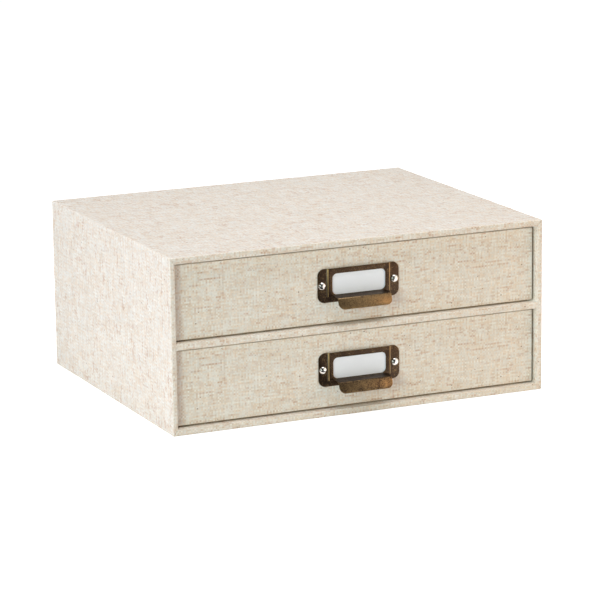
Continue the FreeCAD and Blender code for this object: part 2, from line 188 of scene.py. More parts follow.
# A grid cut starts beside the rounded edge, then a strip further in, then goes on evenly.
GRID, FIRST_CUT, HOLD = 11.0, 7.0, 0.5
EDGE_STEPS, CORNER_STEPS, RIM_STEPS = 5, 4, 3
MITRE_REACH, MITRE_LEVEL = 6.5, 1.4
TOUCH, INSIDE = 0.01, 2.0


def runs(edge, axis):
    """Whether an edge runs along an axis, given as 0, 1 or 2."""
    way = edge.verts[1].co - edge.verts[0].co
    return way.length > 0 and abs(way[axis]) > 0.9 * way.length


def carve_mouth(piece, axis, side, wall):
    """Opens a block on one side and turns the wall's edge inwards, as the cloth is turned in."""
    pick(piece, "FACE", lambda face: face.normal[axis] * side > 0.9)
    bpy.ops.mesh.inset(thickness=wall * MM)
    away = [0.0, 0.0, 0.0]
    away[axis] = -side * TURN_IN
    draw_out(*away)
    bpy.ops.mesh.delete(type="FACE")


def leave_border(piece, axis, side, low, high):
    """Cuts the middle out of a hidden side, so that only the turned-in border of the cloth is left."""
    limit = (high if side > 0 else low)[axis]
    pick(piece, "FACE", lambda face: face.normal[axis] * side > 0.9 and abs(at(face)[axis] - limit) < 0.1)
    bpy.ops.mesh.inset(thickness=TURN_IN * MM)
    bpy.ops.mesh.delete(type="FACE")


def round_block(piece, low, high, radius):
    """Rounds the twelve outer edges of a block."""
    def is_outer(edge):
        spot = at(edge)
        touching = sum(min(spot[axis] - low[axis], high[axis] - spot[axis]) < TOUCH for axis in range(3))
        return touching == 2 and any(runs(edge, axis) for axis in range(3))
    print(piece.name, "outer edges:", pick(piece, "EDGE", is_outer))
    soften(radius, EDGE_STEPS)


def round_mouth(piece, axis, side, low, high, corner, rim):
    """Rounds the upright corners of a mouth, then the rim where the cloth turns in."""
    others = [other for other in range(3) if other != axis]

    def is_corner(edge):
        spot = at(edge)
        return runs(edge, axis) and all(low[o] + INSIDE < spot[o] < high[o] - INSIDE for o in others)
    print(piece.name, "mouth corners:", pick(piece, "EDGE", is_corner))
    soften(corner, CORNER_STEPS)

    def is_rim(edge):
        facing = [face.normal[axis] * side for face in edge.link_faces]
        return len(facing) == 2 and max(facing) > 0.99 and min(abs(value) for value in facing) < 0.1 \
            and all(low[o] + INSIDE < at(edge)[o] < high[o] - INSIDE for o in others)
    print(piece.name, "rim edges:", pick(piece, "EDGE", is_rim))
    soften(rim, RIM_STEPS)


def rule_grid(low, high, radius):
    """Cuts the block being edited into a grid: beside its rounded edges, a strip in, then evenly."""
    hold = radius + HOLD
    for axis in range(3):
        start, end = low[axis], high[axis]
        rule(axis, [start + hold, end - hold, start + FIRST_CUT, end - FIRST_CUT]
             + between(start + FIRST_CUT, end - FIRST_CUT, GRID))


def press_mitre(piece, corner, inward, axis, side, half, depth):
    """Presses a small groove where two folded strips meet, from a corner of the frame inwards."""
    upright = Vector([side if other == axis else 0.0 for other in range(3)])
    across = upright.cross(Vector(inward)).normalized()

    def is_near(face):
        away = at(face) - corner
        flat = [away[other] * inward[other] for other in range(3) if other != axis]
        return abs(away[axis]) < MITRE_LEVEL and all(-HOLD < value < MITRE_REACH for value in flat)
    for offset in (-half, half, 0.0):
        pick(piece, "FACE", is_near)
        bpy.ops.mesh.bisect(plane_co=(corner + across * offset) * MM, plane_no=across)
    move(*(upright * -depth))


def ripple(piece, height, wavelength, where):
    """Lets the picked part of a sheet swell and dip by up to half a height, in millimetres."""
    loose = piece.vertex_groups.new(name="loose")
    for point in piece.data.vertices:
        weight = where(point.co / MM)
        if weight > 0:
            loose.add([point.index], min(1.0, weight), "REPLACE")
    swell = bpy.data.textures.new(piece.name + "_swell", "CLOUDS")
    swell.noise_scale = wavelength * MM
    swell.noise_depth = 1
    alter(piece, "DISPLACE", texture=swell, strength=height * MM, mid_level=0.5, vertex_group=loose.name,
          texture_coords="LOCAL")
    piece.vertex_groups.clear()


def lay_threads(piece, turned=lambda face: False):
    """Gives a piece a UV map by the way each face looks, one unit to the metre, turned on some faces."""
    open_mesh(piece)
    bpy.ops.mesh.select_all(action="SELECT")
    bpy.ops.uv.cube_project(cube_size=2.0, correct_aspect=False, clip_to_bounds=False, scale_to_bounds=False)
    lay_down_tools()
    places = piece.data.uv_layers.active.data
    for face in piece.data.polygons:
        if turned(face):
            for loop in face.loop_indices:
                places[loop].uv = places[loop].uv.yx


def smooth_over(piece, angle=35):
    """Shades a piece smooth, except across edges sharper than an angle."""
    take_up(piece)
    bpy.ops.object.shade_smooth_by_angle(angle=math.radians(angle))
    lay_down_tools()


def hem(piece, turned=lambda face: False):
    """Gives a sheet its thickness, inwards, then its threads and its smooth shading."""
    thicken(piece, CLOTH_THICK)
    lay_threads(piece, turned)
    smooth_over(piece)


def hand_over(piece, body, slot, *nodes):
    """The finished piece moves with a body and stands for CAD nodes; its slot is not used."""
    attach(piece, body)
    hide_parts(*nodes)
    print(f"{piece.name}: {len(piece.data.vertices)} points, {len(piece.data.polygons)} faces")


# %% [markdown]
# ## The cover of the case
# On the real box the cloth is glued over all outside faces, turned over the front edges of the walls and
# glued down inside, 15 mm deep. Underneath and behind, it ends in a border that a panel covers. It could be
# one solid with a Boolean, but starting from a block and taking faces away keeps clean strips that the
# folds can follow. The base and the top are thicker than the side walls, so the mouth's lower and upper
# edges are moved inwards. At each front corner the two folded strips meet in a mitre: a small groove that
# runs from corner to corner.

# %% Cover of the case
WALL, LEVEL_WALL = 4.2, 5.2
CASE_ROUND = 0.9
CASE_MOUTH_CORNER, CASE_MOUTH_RIM = 1.2, 0.35
CASE_MITRE_HALF, CASE_MITRE_DEPTH = 0.6, 0.45
# A ripple is given by its height and by the width of its swells.
CASE_RIPPLE, CASE_SWELL = 0.22, 45.0
FRONT_CUT, SIDE_STRIP = 1.3, 161.0

case_low, case_high = corners_of("case_wrap_cloth")
case_cover = start_block("case_cover", case_low, case_high)
open_mesh(case_cover)
carve_mouth(case_cover, 1, -1, WALL)
for half in (-1, 1):
    pick(case_cover, "VERT", lambda point: abs(at(point).x) < case_high.x - 1
         and (at(point).z - case_high.z / 2) * half > 0)
    move(z=half * (WALL - LEVEL_WALL))
leave_border(case_cover, 1, 1, case_low, case_high)
leave_border(case_cover, 2, -1, case_low, case_high)
round_block(case_cover, case_low, case_high, CASE_ROUND)
round_mouth(case_cover, 1, -1, case_low, case_high, CASE_MOUTH_CORNER, CASE_MOUTH_RIM)
rule_grid(case_low, case_high, CASE_ROUND)
rule(1, [case_low.y + FRONT_CUT])
for x_side in (-1, 1):
    for z_side in (-1, 1):
        corner = Vector((x_side * case_high.x, case_low.y, case_high.z if z_side > 0 else case_low.z))
        press_mitre(case_cover, corner, (-x_side, 0, -z_side * LEVEL_WALL / WALL), 1, -1,
                    CASE_MITRE_HALF, CASE_MITRE_DEPTH)
lay_down_tools()
ripple(case_cover, CASE_RIPPLE, CASE_SWELL, lambda spot: 1.0 if abs(spot.x) > case_high.x - 2
       or spot.z > case_high.z - 2 or spot.y > case_high.y - 2 else 0.5 if spot.y < case_low.y + 0.1 else 0.0)
hem(case_cover, lambda face: abs(face.normal.x) > 0.7
    or (face.normal.y < -0.7 and abs(face.center.x) > SIDE_STRIP * MM))
hand_over(case_cover, "case", "linen_cloth", "case_wrap_cloth")

# %% [markdown]
# ## The panel on the back
# A second piece of the same cloth hides the turned-in border behind. It lies flat, but the step of the
# border under it shows as a faint ridge. So the block gets one inset, whose middle sinks a little.

# %% Back panel
PANEL_EDGE, PANEL_SINK = 0.3, 0.18
BORDER_END, BORDER_RIDGE = 11.0, 2.5
PANEL_RIPPLE, PANEL_SWELL = 0.16, 60.0

panel_low, panel_high = corners_of("case_back_cloth")
back_panel = start_block("case_back_panel", panel_low, panel_high)
open_mesh(back_panel)
pick(back_panel, "EDGE", lambda edge: at(edge).y > panel_high.y - 0.01)
soften(PANEL_EDGE, 3)
pick(back_panel, "FACE", lambda face: face.normal.y > 0.9 and face.calc_area() > 0.01)
bpy.ops.mesh.inset(thickness=BORDER_END * MM)
bpy.ops.mesh.inset(thickness=BORDER_RIDGE * MM)
move(y=-PANEL_SINK)
for axis in (0, 2):
    rule(axis, between(panel_low[axis], panel_high[axis], 2 * GRID))
lay_down_tools()
ripple(back_panel, PANEL_RIPPLE, PANEL_SWELL, lambda spot: 1.0 if spot.y > panel_high.y - 0.3 else 0.0)
lay_threads(back_panel)
smooth_over(back_panel)
hand_over(back_panel, "case", "linen_cloth", "case_back_cloth")

# %% [markdown]
# ## The strip round the shelf
# The shelf's front edge has its own strip of cloth, turned in above and below. At its ends it is pressed
# against the cloth of the walls, where it flares into small fillets. A block with its back and ends open
# becomes that strip; rows of cuts near the ends are spread a little more, row by row.

# %% Shelf cover
SHELF_ROUND_LOW, SHELF_ROUND_HIGH = 0.5, 1.0
SHELF_GRID, SHELF_RIPPLE, SHELF_SWELL = 8.0, 0.2, 30.0
# How much the strip is spread at each distance from its end.
FLARE = {0.0: 1.32, 0.5: 1.15, 1.0: 1.06, 1.7: 1.02}
FLARE_END, STRIP_HALF = 2.6, 157.0

shelf_low, shelf_high = corners_of("shelf_cloth")
shelf_middle = (shelf_low + shelf_high) / 2
shelf_cover = start_block("shelf_cover", shelf_low, shelf_high)
open_mesh(shelf_cover)
pick(shelf_cover, "FACE", lambda face: face.normal.y > 0.9 or abs(face.normal.x) > 0.9)
bpy.ops.mesh.delete(type="FACE")
for height, radius in ((shelf_low.z, SHELF_ROUND_LOW), (shelf_high.z, SHELF_ROUND_HIGH)):
    pick(shelf_cover, "EDGE", lambda edge: at(edge).y < shelf_low.y + 0.01 and abs(at(edge).z - height) < 0.01
         and runs(edge, 0))
    soften(radius, 4)
rule(0, between(shelf_low.x, shelf_high.x, SHELF_GRID))
for end in (-1, 1):
    cuts = [distance for distance in FLARE if distance] + [FLARE_END]
    rule(0, [end * (shelf_high.x - distance) for distance in cuts])
    for distance, spread in FLARE.items():
        pick(shelf_cover, "VERT", lambda point: abs(at(point).x - end * (shelf_high.x - distance)) < 0.05)
        stretch(z=spread, centre=shelf_middle)
lay_down_tools()
ripple(shelf_cover, SHELF_RIPPLE, SHELF_SWELL,
       lambda spot: 1.0 if abs(spot.x) < STRIP_HALF and spot.y < shelf_low.y + 2 else 0.0)
hem(shelf_cover)
hand_over(shelf_cover, "case", "linen_cloth", "shelf_cloth")

# %% [markdown]
# ## The covers of the drawers
# Each drawer is a tray of five boards. Its cloth goes round all four sides, over the rim and 15 mm down
# inside, and in a border under the base. That is the case's way of covering again, with the mouth on top,
# so the same helpers serve. The two drawers are equal: one cover is modelled and copied, the copy with its
# own mesh.

# %% Covers of the drawers
TRAY_ROUND = 0.6
TRAY_WALL, FRONT_WALL_MORE = 3.6, 0.6
TRAY_MOUTH_CORNER, TRAY_MOUTH_RIM = 0.9, 0.5
TRAY_MITRE_HALF, TRAY_MITRE_DEPTH = 0.5, 0.35
TRAY_RIPPLE, TRAY_SWELL = 0.24, 38.0

tray_low, tray_high = corners_of("lower_drawer_cloth")
LEVEL_RISE = corners_of("upper_drawer_cloth")[0].z - tray_low.z


def copy_up(piece, name):
    """The same piece again for the upper drawer, with its own mesh."""
    take_up(piece)
    bpy.ops.object.duplicate(linked=False)
    twin = bpy.context.object
    bpy.ops.transform.translate(value=(0, 0, LEVEL_RISE * MM))
    bpy.ops.object.transform_apply(location=True, rotation=False, scale=False)
    twin.name = twin.data.name = name
    lay_down_tools()
    return twin


tray = start_block("lower_drawer_cover", tray_low, tray_high)
open_mesh(tray)
carve_mouth(tray, 2, 1, TRAY_WALL)
pick(tray, "VERT", lambda point: tray_low.y + 2 < at(point).y < tray_low.y + 5)
move(y=FRONT_WALL_MORE)
leave_border(tray, 2, -1, tray_low, tray_high)
round_block(tray, tray_low, tray_high, TRAY_ROUND)
round_mouth(tray, 2, 1, tray_low, tray_high, TRAY_MOUTH_CORNER, TRAY_MOUTH_RIM)
rule_grid(tray_low, tray_high, TRAY_ROUND)
for x_side in (-1, 1):
    for y_side in (-1, 1):
        corner = Vector((x_side * tray_high.x, tray_low.y if y_side < 0 else tray_high.y, tray_high.z))
        press_mitre(tray, corner, (-x_side, -y_side, 0), 2, 1, TRAY_MITRE_HALF, TRAY_MITRE_DEPTH)
lay_down_tools()
upper_tray = copy_up(tray, "upper_drawer_cover")
for piece, level in ((tray, "lower"), (upper_tray, "upper")):
    ripple(piece, TRAY_RIPPLE, TRAY_SWELL, lambda spot: 1.0 if spot.y < tray_low.y + 0.1
           or spot.y > tray_high.y - 0.8 or abs(spot.x) > tray_high.x - 0.1 else 0.0)
    hem(piece)
    hand_over(piece, level + "_drawer", "linen_cloth", level + "_drawer_cloth")

# %% [markdown]
# ## The label holders
# A holder is one piece of stamped sheet brass. The middle of the plate is pressed forward as a pocket, open
# at the top, and two ears stay on the cloth. The window's metal isn't cut away: it is turned out at the
# sill as a shelf with a lip bent down, which is the pull. So the plate starts as a flat sheet that is cut,
# pushed and bent, the pull as a second sheet, and both get the thickness of the metal before they are
# welded by a Boolean.

# %% Plate of the holder
METAL_THICK, METAL_BEND, METAL_BURR = 0.7, 0.4, 0.14
HOLDER_HALF, HOLDER_TOP, EAR_CORNER = 36.0, 13.95, 5.9
POCKET_ROOT, POCKET_HALF, POCKET_RAISE = 28.1, 27.3, 1.2
POCKET_LOW, POCKET_FACE_LOW = -9.55, -9.15
WINDOW_HALF, WINDOW_LOW, WINDOW_HIGH, WINDOW_CORNER = 23.6, -7.65, 9.55, 4.0
BENCH_HEIGHT = corners_of("lower_label_holder")[1].z - HOLDER_TOP
DRAWER_FRONT = tray_low.y
EAR_FACE = DRAWER_FRONT - METAL_THICK
POCKET_FACE = EAR_FACE - POCKET_RAISE


def start_sheet(name, centre, width, length, upright):
    """A plane primitive, lying or standing with its face to the front, in millimetres."""
    lay_down_tools()
    bpy.ops.mesh.primitive_plane_add(size=1, location=Vector(centre) * MM,
                                     rotation=(math.pi / 2 if upright else 0, 0, 0))
    bpy.context.object.scale = (width * MM, length * MM, 1)
    return settle(name)


plate = start_sheet("lower_holder", (0, EAR_FACE, BENCH_HEIGHT), 2 * HOLDER_HALF, 2 * HOLDER_TOP, True)
open_mesh(plate)
rule(0, [-POCKET_ROOT, -POCKET_HALF, POCKET_HALF, POCKET_ROOT])
rule(2, [BENCH_HEIGHT + POCKET_LOW, BENCH_HEIGHT + POCKET_FACE_LOW])
pick(plate, "VERT", lambda point: abs(at(point).x) < POCKET_HALF + 0.1
     and at(point).z > BENCH_HEIGHT + POCKET_FACE_LOW - 0.1)
move(y=-POCKET_RAISE)
bpy.ops.mesh.select_all(action="SELECT")
bpy.ops.mesh.dissolve_limited(angle_limit=math.radians(1))


def is_bend(edge):
    """Whether the sheet bends along an edge."""
    return len(edge.link_faces) == 2 and edge.calc_face_angle(0) > math.radians(20)


print("bends:", pick(plate, "EDGE", is_bend))
soften(METAL_BEND, 3)
print("ear corners:", pick(plate, "VERT", lambda point: abs(at(point).x) > HOLDER_HALF - 0.1))
soften(EAR_CORNER, 8, affect="VERTICES")
lay_down_tools()
thicken(plate, METAL_THICK)

window = start_block("window_punch", (-WINDOW_HALF, POCKET_FACE - 2, BENCH_HEIGHT + WINDOW_LOW),
                     (WINDOW_HALF, DRAWER_FRONT + 2, BENCH_HEIGHT + WINDOW_HIGH))
open_mesh(window)
pick(window, "EDGE", lambda edge: runs(edge, 1))
soften(WINDOW_CORNER, 8)
lay_down_tools()
alter(plate, "BOOLEAN", object=window, operation="DIFFERENCE", solver="EXACT")
bpy.data.objects.remove(window)
print("plate faces:", len(plate.data.polygons))

# %% Pull of the holder
PULL_ROOT, PULL_REACH, PULL_FALL = 1.55, 11.9, 1.0
LIP_REACH, LIP_FALL, LIP_CORNER, LIP_BEND = 4.2, 8.5, 5.0, 0.75

sill = BENCH_HEIGHT + WINDOW_LOW
pull = start_sheet("pull", (0, DRAWER_FRONT - (PULL_ROOT + PULL_REACH) / 2, sill), 2 * WINDOW_HALF,
                   PULL_REACH - PULL_ROOT, False)
open_mesh(pull)
pick(pull, "EDGE", lambda edge: runs(edge, 0) and at(edge).y < DRAWER_FRONT - PULL_REACH + 0.1)
move(z=-PULL_FALL)
draw_out(y=-LIP_REACH, z=-LIP_FALL)
bpy.ops.mesh.select_all(action="SELECT")
bpy.ops.mesh.normals_make_consistent(inside=False)
if pick(pull, "FACE", lambda face: face.normal.z < 0):
    bpy.ops.mesh.select_all(action="SELECT")
    bpy.ops.mesh.flip_normals()
pick(pull, "EDGE", is_bend)
soften(LIP_BEND, 5)
pick(pull, "VERT", lambda point: at(point).z < sill - PULL_FALL - LIP_FALL + 0.1)
soften(LIP_CORNER, 8, affect="VERTICES")
lay_down_tools()
thicken(pull, METAL_THICK)
alter(plate, "BOOLEAN", object=pull, operation="UNION", solver="EXACT")
bpy.data.objects.remove(pull)
alter(plate, "BEVEL", width=METAL_BURR * MM, segments=2, limit_method="ANGLE", angle_limit=math.radians(40))
lay_threads(plate)
smooth_over(plate, 30)
upper_plate = copy_up(plate, "upper_holder")
for piece, level in ((plate, "lower"), (upper_plate, "upper")):
    hand_over(piece, level + "_drawer", "antique_brass", level + "_label_holder")

# %% [markdown]
# ## The split pins
# A split pin has a domed head and two flat legs, which go through a hole in the drawer's front and are
# folded apart inside. The dome is the cap of a sphere with a short rim. Both pins of a drawer are one
# piece, the second mirrored from the first.

# %% Split pins
PIN_HALF = 32.05
HEAD_BALL, HEAD_RISE, HEAD_RIM, HEAD_BURR = 3.813, 2.3, 0.3, 0.12
LEG_WIDTH, LEG_THICK, LEG_LENGTH, LEG_BURR = 2.4, 0.45, 11.0, 0.08
LEG_TIP, LEG_TAPER, LEG_OVERLAP = 2.0, 0.3, 0.2
FRONT_THICK = 4.1
LEG_FACE = DRAWER_FRONT + FRONT_THICK

lay_down_tools()
ball_middle = EAR_FACE - HEAD_RISE + HEAD_BALL
bpy.ops.mesh.primitive_uv_sphere_add(segments=48, ring_count=32, radius=HEAD_BALL * MM,
                                     location=Vector((PIN_HALF, ball_middle, BENCH_HEIGHT)) * MM,
                                     rotation=(math.pi / 2, 0, 0))
pins = settle("lower_pins")
open_mesh(pins)
bpy.ops.mesh.select_all(action="SELECT")
bpy.ops.mesh.bisect(plane_co=(0, (EAR_FACE - HEAD_RIM) * MM, 0), plane_no=(0, 1, 0), clear_outer=True)
draw_out(y=HEAD_RIM)
bpy.ops.mesh.edge_face_add()
pick(pins, "EDGE", lambda edge: abs(at(edge).y - (EAR_FACE - HEAD_RIM)) < 0.01 and not runs(edge, 1))
soften(HEAD_BURR, 2)
lay_down_tools()

legs = start_block("legs", (PIN_HALF - LEG_LENGTH, LEG_FACE, BENCH_HEIGHT - LEG_WIDTH / 2),
                   (PIN_HALF + LEG_LENGTH, LEG_FACE + LEG_THICK, BENCH_HEIGHT + LEG_WIDTH / 2))
open_mesh(legs)
rule(0, [PIN_HALF - LEG_LENGTH + LEG_TIP, PIN_HALF - LEG_THICK,
         PIN_HALF + LEG_THICK, PIN_HALF + LEG_LENGTH - LEG_TIP])
pick(legs, "VERT", lambda point: abs(at(point).x - PIN_HALF) > LEG_LENGTH - 0.1)
stretch(z=LEG_TAPER, centre=(PIN_HALF, LEG_FACE, BENCH_HEIGHT))
pick(legs, "FACE", lambda face: face.normal.y < -0.9 and abs(at(face).x - PIN_HALF) < 0.1)
draw_out(y=EAR_FACE - LEG_FACE + LEG_OVERLAP)
lay_down_tools()
alter(legs, "BEVEL", width=LEG_BURR * MM, segments=2, limit_method="ANGLE", angle_limit=math.radians(50))
take_up(pins)
legs.select_set(True)
bpy.ops.object.join()
alter(pins, "MIRROR", use_axis=(True, False, False), use_mirror_merge=False)
smooth_over(pins, 40)
upper_pins = copy_up(pins, "upper_pins")
for piece, level in ((pins, "lower"), (upper_pins, "upper")):
    hand_over(piece, level + "_drawer", "nickel", level + "_label_pins")

# %% [markdown]
# ## Arithmetic on sockets
# A finish is a tree of nodes. To read like a formula, a socket gets wrapped in a small class: plus and
# times on it add Math nodes. Every other node comes from one method that takes its type, its settings and
# its inputs.

# %% Sockets and finishes


class Socket:
    """An output of a node that takes part in arithmetic: each operator adds a Math node."""

    def __init__(self, finish, output):
        self.finish, self.output = finish, output

    def __add__(self, other):
        return self.finish.maths("ADD", self, other)

    def __sub__(self, other):
        return self.finish.maths("SUBTRACT", self, other)

    def __rsub__(self, other):
        return self.finish.maths("SUBTRACT", other, self)

    def __mul__(self, other):
        return self.finish.maths("MULTIPLY", self, other)

    def __truediv__(self, other):
        return self.finish.maths("DIVIDE", self, other)

    __radd__ = __add__


class Finish:
    """A tree of nodes in the making, for a new material or for the world."""

    def __init__(self, name, world=None):
        self.owner = world or bpy.data.materials.new(name)
        self.owner.use_nodes = True
        self.tree = self.owner.node_tree
        self.tree.nodes.clear()

    def node(self, kind, settings=None, inputs=None, output=0):
        """Adds a node: first its settings, then the values or links of its sockets."""
        made = self.tree.nodes.new("ShaderNode" + kind)
        for name, value in (settings or {}).items():
            setattr(made, name, value)
        for name, value in (inputs or {}).items():
            if isinstance(value, Socket):
                self.tree.links.new(value.output, made.inputs[name])
            else:
                made.inputs[name].default_value = value
        return Socket(self, made.outputs[output]) if len(made.outputs) else made

    def maths(self, operation, *values):
        """A Math node on values and sockets."""
        return self.node("Math", {"operation": operation}, dict(enumerate(values)))

    def vector(self, operation, *values):
        """A Vector Math node on vectors and sockets."""
        return self.node("VectorMath", {"operation": operation}, dict(enumerate(values)))

    def tint(self, colour, amount):
        """A colour made lighter or darker by a value."""
        return self.node("VectorMath", {"operation": "SCALE"}, {0: colour, "Scale": amount})

    def blend(self, first, second, share):
        """A mix of two colours."""
        colours = [(*c, 1.0) if isinstance(c, tuple) and len(c) == 3 else c for c in (first, second)]
        return self.node("Mix", {"data_type": "RGBA"}, {0: share, 6: colours[0], 7: colours[1]}, 2)

    def step(self, value, start, end):
        """Rises smoothly from 0 to 1 while a value goes from start to end."""
        return self.node("MapRange", {"interpolation_type": "SMOOTHSTEP"}, {0: value, 1: start, 2: end})

    def noise(self, place, detail=2.0, roughness=0.5):
        """Soft noise, 0 to 1, with one swell to each unit of the place."""
        return self.node("TexNoise", {"noise_dimensions": "3D"},
                         {"Vector": place, "Scale": 1.0, "Detail": detail, "Roughness": roughness})

    def place(self):
        """The Object coordinates, in millimetres."""
        return self.vector("MULTIPLY", self.node("TexCoord", {}, {}, "Object"), (1000.0, 1000.0, 1000.0))

    def part(self, place, axis):
        """One coordinate of a place."""
        return self.node("SeparateXYZ", {}, {0: place}, axis)

    def patches(self, place, rate, upward=None, **settings):
        """Soft noise with so many swells to the millimetre, upwards with another number if it is given."""
        return self.noise(self.vector("MULTIPLY", place, (rate, rate, upward or rate)), **settings)

    def seen(self):
        """1 for rays from the camera, of reflections and through glass, 0 for light on a surface."""
        path = self.tree.nodes.new("ShaderNodeLightPath")
        kinds = ("Is Camera Ray", "Is Glossy Ray", "Is Transmission Ray")
        direct, mirrored, inner = [Socket(self, path.outputs[kind]) for kind in kinds]
        return self.maths("MAXIMUM", direct, self.maths("MAXIMUM", mirrored, inner))

    def surface(self, constants, varying, height=None, bump=0.0, distance=0.0):
        """The shader itself: its constants, links for what varies, and a bump whose depth is in metres."""
        inputs = dict(constants)
        inputs.update(varying)
        if height is not None:
            relief = {"Strength": bump, "Distance": distance, "Height": height}
            inputs["Normal"] = self.node("Bump", {}, relief)
        shader = self.node("BsdfPrincipled", {}, inputs)
        self.node("OutputMaterial", {}, {"Surface": shader})
        return self.owner


def dress(finish, *pieces):
    """Gives pieces a finish in all their material slots."""
    for piece in pieces:
        piece.data.materials.clear()
        piece.data.materials.append(finish)


# %% [markdown]
# ## Linen
# The cloth is natural linen on paper. Its yarns lie 0.7 mm apart and go over and under each other. To give
# each yarn a life of its own, the place is rounded down to the number of its row and its column, and a
# noise runs along each row and column: a long one for the tone, shorter ones for its warmth and for slubs,
# the tan dashes that gather in loose clusters. Here and there is a dark speck of husk. All of it reads the
# UV map, so it follows each face.

# %% Linen finish
YARN = 0.7
LINEN_PALE, LINEN_TAN = (0.775, 0.765, 0.700), (0.750, 0.655, 0.525)
SLUB_TAN, HUSK = (0.53, 0.335, 0.215), (0.20, 0.12, 0.07)
# The weft comes first, then the warp: how long the swells along a yarn are, in millimetres.
TONE_RUNS, TINGE_RUNS, SLUB_RUNS = (7.0, 6.0), (3.8, 3.0), (5.0, 4.2)
# The values of the noise between which a slub or a husk fades in.
WEFT_SLUBS, WARP_SLUBS, HUSKS = (0.58, 0.70), (0.60, 0.73), (0.80, 0.88)


def make_linen():
    """Yarns that go over and under each other, with slubs and husks."""
    linen = Finish("linen_cloth")
    uv = linen.node("UVMap", {}, {})
    place = linen.vector("MULTIPLY", uv, (1000.0, 1000.0, 1000.0))
    across, upward = linen.part(place, "X"), linen.part(place, "Y")

    def swells(across_mm, upward_mm, seed, **settings):
        """Soft noise whose swells are so wide and so high, in millimetres."""
        moved = linen.vector("ADD", place, (seed * 37.3, seed * 91.7, 0.0))
        return linen.noise(linen.vector("MULTIPLY", moved, (1 / across_mm, 1 / upward_mm, 1.0)), **settings)

    sway = swells(45.0, 45.0, 1, detail=1.0) * 4.0
    row = linen.maths("FLOOR", upward / YARN + sway)
    column = linen.maths("FLOOR", across / YARN + sway)

    def along(yarn, run, length, seed):
        """A tone that changes along a yarn, in swells of a length, and from one yarn to the next."""
        spot = {0: run / length + seed * 13.7, 1: yarn * 7.13 + seed * 0.37, 2: seed * 5.3}
        return linen.noise(linen.node("CombineXYZ", {}, spot), detail=1.0)

    weft, warp = along(row, across, TONE_RUNS[0], 1), along(column, upward, TONE_RUNS[1], 2)
    over = linen.maths("PINGPONG", row + column, 1.0) * 0.9 + 0.05
    tinge = along(row, across, TINGE_RUNS[0], 11) * over \
        + along(column, upward, TINGE_RUNS[1], 12) * (1.0 - over)
    grain = swells(0.9, 0.9, 3, detail=1.0)
    cluster = linen.step(swells(17.0, 12.0, 5, detail=2.0), 0.38, 0.64) * 0.5 + 0.4
    weft_slub = linen.step(along(row, across, SLUB_RUNS[0], 6), *WEFT_SLUBS) * cluster
    warp_slub = linen.step(along(column, upward, SLUB_RUNS[1], 7), *WARP_SLUBS) * cluster
    husk = linen.step(swells(1.2, 0.9, 9, detail=0.0), *HUSKS)

    tone = weft * over + warp * (1.0 - over)
    colour = linen.blend(LINEN_TAN, LINEN_PALE, linen.step(tinge * 0.75 + tone * 0.25, 0.34, 0.62))
    colour = linen.tint(colour, 0.72 + tone * 0.40 + grain * 0.16)
    colour = linen.blend(colour, SLUB_TAN, warp_slub * (0.90 - over * 0.6) * 0.75)
    colour = linen.blend(colour, SLUB_TAN, weft_slub * (over * 0.5 + 0.35))
    colour = linen.blend(colour, HUSK, husk * 0.8)
    height = over * 0.12 + tone * 0.5 + grain * 0.2 + weft_slub * 0.5
    return linen.surface({"Specular IOR Level": 0.1, "Sheen Weight": 0.08, "Sheen Roughness": 0.6},
                         {"Base Color": colour, "Roughness": 0.84 + grain * 0.12}, height,
                         bump=0.3, distance=0.0003)


linen_finish = make_linen()
dress(linen_finish, case_cover, back_panel, shelf_cover, tray, upper_tray)
print("linen nodes:", len(linen_finish.node_tree.nodes))

# %% [markdown]
# ## Board, paper and card
# Greyboard is pressed from waste fibres and is speckled. The lining is laid paper, with faint close lines,
# and the panels under the case and the drawers are the same paper in a dark kraft brown, dark enough to
# paint the shade in the gaps under the drawers. The card is smooth and white, only a breath of texture
# keeps it from looking like plastic. These pieces are flat and keep their CAD shapes, so their patterns
# read the Object coordinates.

# %% Board, paper and card finishes
BOARD_DARK, BOARD_PALE, BOARD_SPECK = (0.42, 0.38, 0.32), (0.60, 0.56, 0.50), (0.16, 0.15, 0.14)
LINING_DARK, LINING_PALE = (0.70, 0.64, 0.54), (0.80, 0.75, 0.66)
# Kraft brown for the panels under the case and drawers, made dark as painted shade in the gaps under the
# drawers.
KRAFT_GAP_SHADE_DARK, KRAFT_GAP_SHADE_PALE = (0.30, 0.21, 0.13), (0.38, 0.28, 0.18)
CARD_DARK, CARD_PALE = (0.86, 0.92, 0.99), (0.90, 0.95, 1.0)


def make_board():
    """Pressed fibres with dark specks."""
    board = Finish("greyboard")
    place = board.place()
    fibre = board.patches(place, 0.5, 0.9, detail=5.0, roughness=0.7)
    speck = board.step(board.patches(place, 0.9, detail=1.0), 0.68, 0.78)
    colour = board.blend(BOARD_DARK, BOARD_PALE, fibre)
    colour = board.blend(colour, BOARD_SPECK, speck * 0.6)
    return board.surface({}, {"Base Color": colour, "Roughness": 0.85 + fibre * 0.1}, fibre,
                         bump=0.3, distance=0.0003)


def make_paper(name, dark, pale):
    """Laid paper between two tones, with faint close lines."""
    paper = Finish(name)
    place = paper.place()
    mottle = paper.patches(place, 0.06, detail=3.0)
    fibre = paper.patches(place, 0.8, detail=4.0, roughness=0.65)
    laid = paper.node("TexWave", {"bands_direction": "Y"},
                      {"Vector": place, "Scale": 0.25, "Distortion": 0.6, "Detail": 1.0}, "Fac")
    colour = paper.tint(paper.blend(dark, pale, mottle), 0.93 + fibre * 0.08 + laid * 0.03)
    return paper.surface({"Specular IOR Level": 0.3}, {"Base Color": colour, "Roughness": 0.8 + fibre * 0.15},
                         fibre * 0.6 + laid * 0.4, bump=0.25, distance=0.0002)


